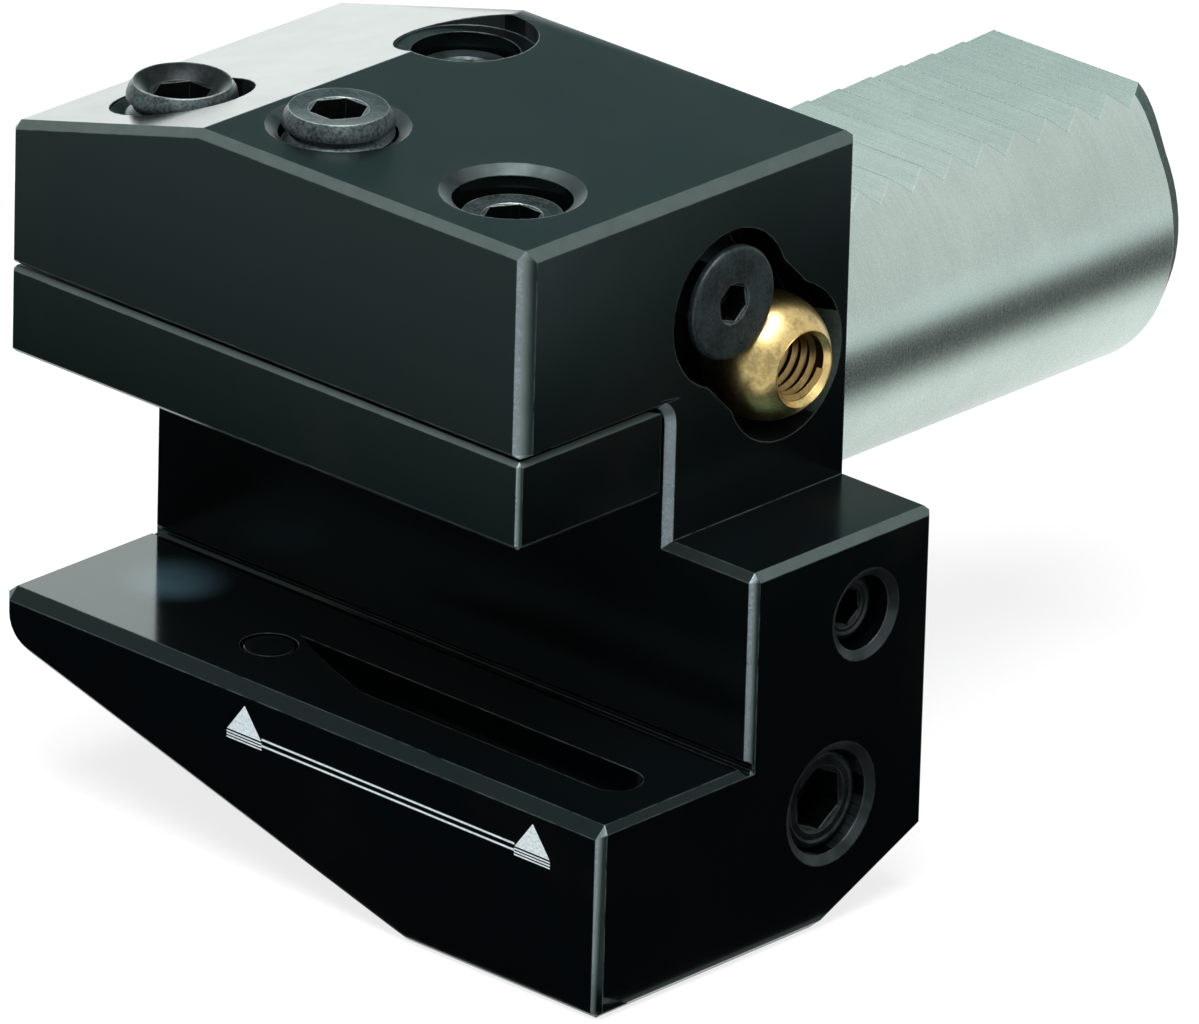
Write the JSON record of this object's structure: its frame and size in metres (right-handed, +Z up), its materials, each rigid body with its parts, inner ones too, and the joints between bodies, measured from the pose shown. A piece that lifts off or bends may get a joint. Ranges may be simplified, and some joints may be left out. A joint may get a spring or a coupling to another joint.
{
  "type": "radial square-seat tool holder with serrated round shank",
  "caption": "Turret tool holder: monoblock head with a square tool slot, screw-down clamping bar, coolant ball nozzle and a serrated round shank.",
  "frame": {"origin": "the point where the shank's axis meets the flange face of the head", "axes": "+X along the clamped tool towards the step with the shut-off screw, +Y along the shank towards its free end, +Z up, from the tool seat towards the clamping screws"},
  "size_m": [0.07, 0.095, 0.0676],
  "materials": {
    "blackened_steel": "black oxide, satin, with bright worn edges",
    "screw_steel": "oiled black oxide",
    "bright_steel": "ground",
    "brass": "turned",
    "rubber": "matte"
  },
  "bodies": {
    "holder": {"holder_body": "blackened_steel", "hanger_screw_left": "screw_steel", "hanger_screw_right": "screw_steel", "bar_spring_left": "bright_steel", "bar_spring_right": "bright_steel", "rear_channel_plug": "bright_steel", "side_channel_plug": "screw_steel", "spare_port_plug": "screw_steel", "seat_plug": "screw_steel", "flange_seal": "rubber", "inlet_seal": "rubber"},
    "bar": {"clamp_bar": "blackened_steel"},
    "screw_left": {"clamp_screw_left": "screw_steel"},
    "screw_middle": {"clamp_screw_middle": "screw_steel"},
    "screw_right": {"clamp_screw_right": "screw_steel"},
    "nozzle_ring": {"nozzle_seal": "rubber"},
    "nozzle": {"nozzle_ball": "brass"},
    "nozzle_clamp": {"nozzle_screw": "screw_steel"},
    "shutoff_ball": {"valve_ball": "bright_steel"},
    "shutoff_screw": {"valve_screw": "screw_steel"}
  },
  "joints": [
    {"name": "bar_slide", "type": "slide", "parent": "holder", "child": "bar", "axis": [0, 0, -1], "range_m": [0, 0.0019], "deforming": ["bar_spring_left", "bar_spring_right"]},
    {"name": "screw_turn_middle", "type": "hinge", "parent": "bar", "child": "screw_middle", "pos_m": [-0.0058, -0.0305, 0.0096], "axis": [0, 0, -1], "range_deg": [0, 458]},
    {"name": "screw_turn_left", "type": "hinge", "parent": "bar", "child": "screw_left", "pos_m": [-0.024, -0.0305, 0.0096], "axis": [0, 0, -1], "range_deg": [0, 458]},
    {"name": "screw_turn_right", "type": "hinge", "parent": "bar", "child": "screw_right", "pos_m": [0.0143, -0.0305, 0.0096], "axis": [0, 0, -1], "range_deg": [0, 458]},
    {"name": "nozzle_spin", "type": "hinge", "parent": "holder", "child": "nozzle_ring", "pos_m": [0.0227, -0.008, 0.0094], "axis": [1, 0, 0], "continuous": true},
    {"name": "nozzle_tilt", "type": "hinge", "parent": "nozzle_ring", "child": "nozzle", "pos_m": [0.0227, -0.008, 0.0094], "axis": [0, 0, 1], "range_deg": [-25, 25]},
    {"name": "nozzle_screw_turn", "type": "hinge", "parent": "holder", "child": "nozzle_clamp", "pos_m": [0.025, -0.015, 0.0168], "axis": [1, 0, 0], "range_deg": [0, 180]},
    {"name": "valve_slide", "type": "slide", "parent": "holder", "child": "shutoff_ball", "axis": [-1, 0, 0], "range_m": [0, 0.003]},
    {"name": "valve_turn", "type": "hinge", "parent": "shutoff_ball", "child": "shutoff_screw", "pos_m": [0.033, -0.008, -0.0105], "axis": [-1, 0, 0], "range_deg": [0, 1082]}
  ],
  "couplings": [
    {"joint": "screw_turn_middle", "follows": "bar_slide", "rad_per_m": 4188.8},
    {"joint": "screw_turn_left", "follows": "bar_slide", "rad_per_m": 4188.8},
    {"joint": "screw_turn_right", "follows": "bar_slide", "rad_per_m": 4188.8},
    {"joint": "valve_turn", "follows": "valve_slide", "rad_per_m": 6283.2}
  ]
}
